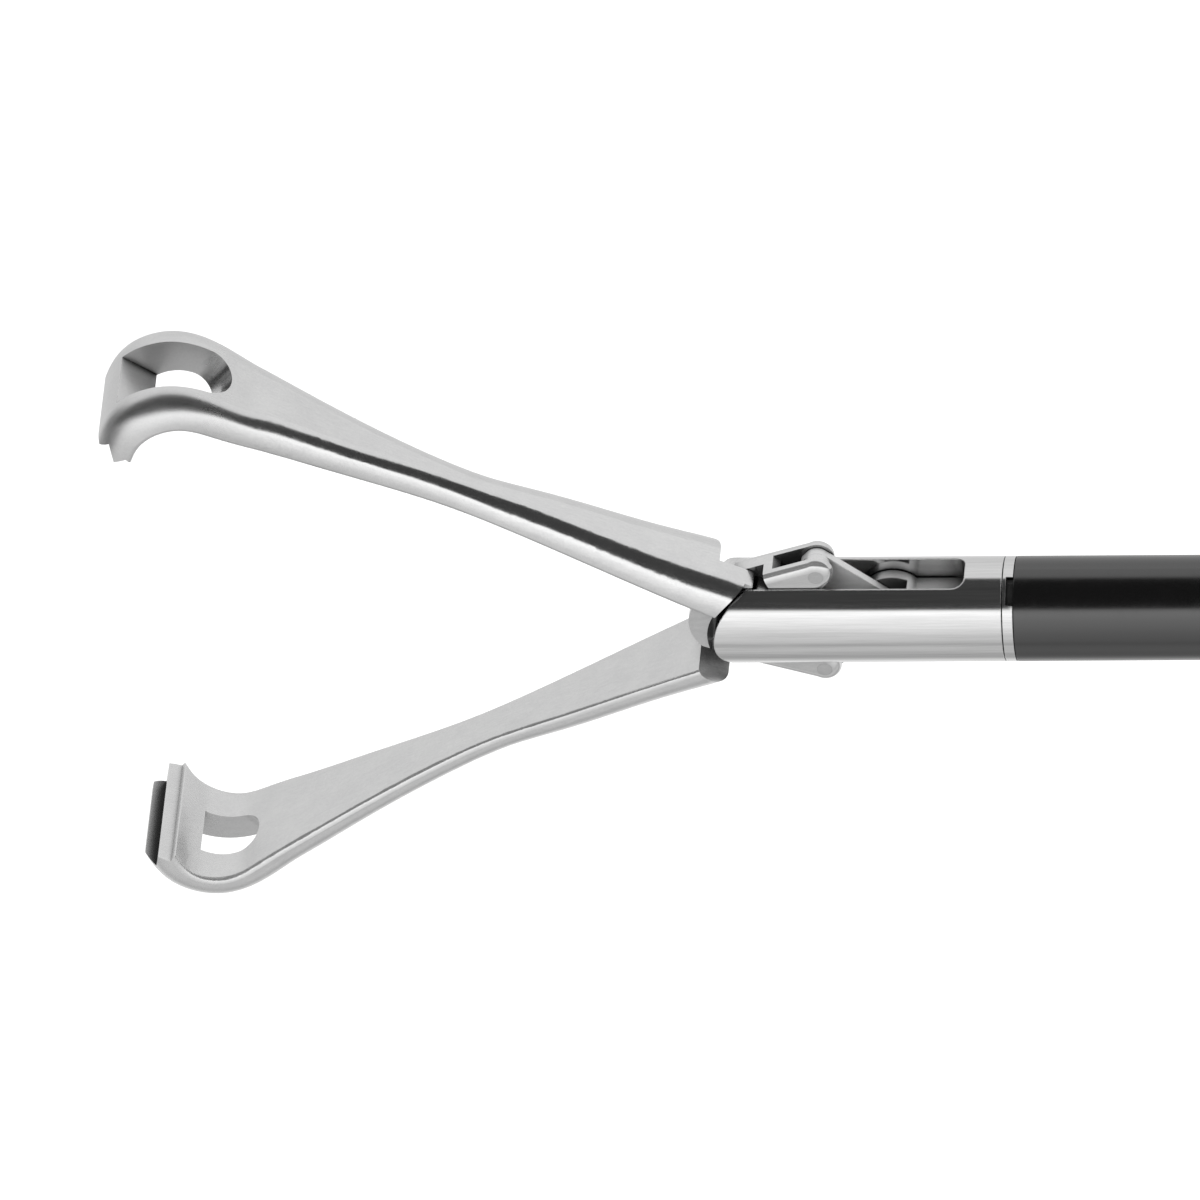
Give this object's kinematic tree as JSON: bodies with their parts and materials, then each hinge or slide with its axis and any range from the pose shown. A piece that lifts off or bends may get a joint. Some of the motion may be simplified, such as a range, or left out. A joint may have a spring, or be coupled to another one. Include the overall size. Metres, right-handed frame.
{
  "type": "laparoscopic grasper",
  "caption": "Hand-held keyhole surgery grasper: ring handle drives a pull rod in a slim insulated shaft, closing two fenestrated, ridged jaws together.",
  "frame": {"origin": "on the shaft's axis where the black insulation begins, 11.9 mm behind the jaw pivot", "axes": "+X along the shaft towards the handle, +Z the side that the upper jaw opens to, the finger rings hang towards -Z"},
  "size_m": [0.4569, 0.023, 0.1068],
  "materials": {
    "jaw_steel": "fine satin",
    "polished_steel": "polished stainless",
    "black_insulation": "smooth semi-gloss",
    "white_liner": "smooth",
    "grey_rubber": "matt",
    "black_plastic": "fine moulded grain",
    "grey_plastic": "moulded"
  },
  "bodies": {
    "handle": {"left_handle_shell": "black_plastic", "right_handle_shell": "black_plastic", "handle_screws": "polished_steel", "bearing_bush": "white_liner", "lever_pivot_pin": "polished_steel", "lever_washers": "white_liner", "connector_insulator": "grey_plastic", "connector_pin": "polished_steel"},
    "shaft": {"jaw_clevis": "polished_steel", "jaw_pivot_pin": "polished_steel", "tube_collar": "polished_steel", "outer_tube": "polished_steel", "insulation_sleeve": "black_insulation", "rod_liner": "white_liner", "shaft_hub": "polished_steel", "flush_port": "polished_steel", "rod_seal": "grey_rubber", "rotation_knob": "black_plastic", "shank_clip": "polished_steel"},
    "rod": {"rod_end": "jaw_steel", "rod_end_pin": "polished_steel", "pull_rod": "polished_steel", "rod_ball": "polished_steel"},
    "upper_jaw": {"upper_jaw": "jaw_steel", "upper_jaw_tail_pin": "polished_steel"},
    "lower_jaw": {"lower_jaw": "jaw_steel", "lower_jaw_tail_pin": "polished_steel"},
    "upper_link": {"upper_jaw_link": "jaw_steel"},
    "lower_link": {"lower_jaw_link": "jaw_steel"},
    "lever": {"thumb_lever": "black_plastic"},
    "cap": {"flush_cap": "grey_rubber"}
  },
  "joints": [
    {"name": "thumb_lever_hinge", "type": "hinge", "parent": "handle", "child": "lever", "pos_m": [0.35447, 0, -0.007], "axis": [0, 1, 0], "range_deg": [0, 13.86]},
    {"name": "shaft_rotation", "type": "hinge", "parent": "handle", "child": "shaft", "pos_m": [0.30562, 0, 0], "axis": [1, 0, 0], "continuous": true},
    {"name": "rod_slide", "type": "slide", "parent": "shaft", "child": "rod", "axis": [1, 0, 0], "range_m": [0, 0.0017]},
    {"name": "upper_jaw_hinge", "type": "hinge", "parent": "shaft", "child": "upper_jaw", "pos_m": [-0.0119, 0, 0], "axis": [0, -1, 0], "range_deg": [0, 22.98]},
    {"name": "lower_jaw_hinge", "type": "hinge", "parent": "shaft", "child": "lower_jaw", "pos_m": [-0.0119, 0, 0], "axis": [0, 1, 0], "range_deg": [0, 22.98]},
    {"name": "upper_link_hinge", "type": "hinge", "parent": "upper_jaw", "child": "upper_link", "pos_m": [-0.00934, 0, -0.00294], "axis": [0, 1, 0], "range_deg": [0, 41.43]},
    {"name": "lower_link_hinge", "type": "hinge", "parent": "lower_jaw", "child": "lower_link", "pos_m": [-0.00934, 0, 0.00294], "axis": [0, -1, 0], "range_deg": [0, 41.43]},
    {"name": "flush_cap_twist", "type": "hinge", "parent": "shaft", "child": "cap", "pos_m": [0.29562, 0, 0.012], "axis": [0, 0, 1], "range_deg": [0, 90]}
  ],
  "couplings": [
    {"joint": "rod_slide", "follows": "thumb_lever_hinge", "m_per_rad": 0.0070343},
    {"joint": "upper_jaw_hinge", "follows": "thumb_lever_hinge", "ratio": 1.6578},
    {"joint": "lower_jaw_hinge", "follows": "thumb_lever_hinge", "ratio": 1.6578},
    {"joint": "upper_link_hinge", "follows": "thumb_lever_hinge", "ratio": 2.9886},
    {"joint": "lower_link_hinge", "follows": "thumb_lever_hinge", "ratio": 2.9886}
  ]
}
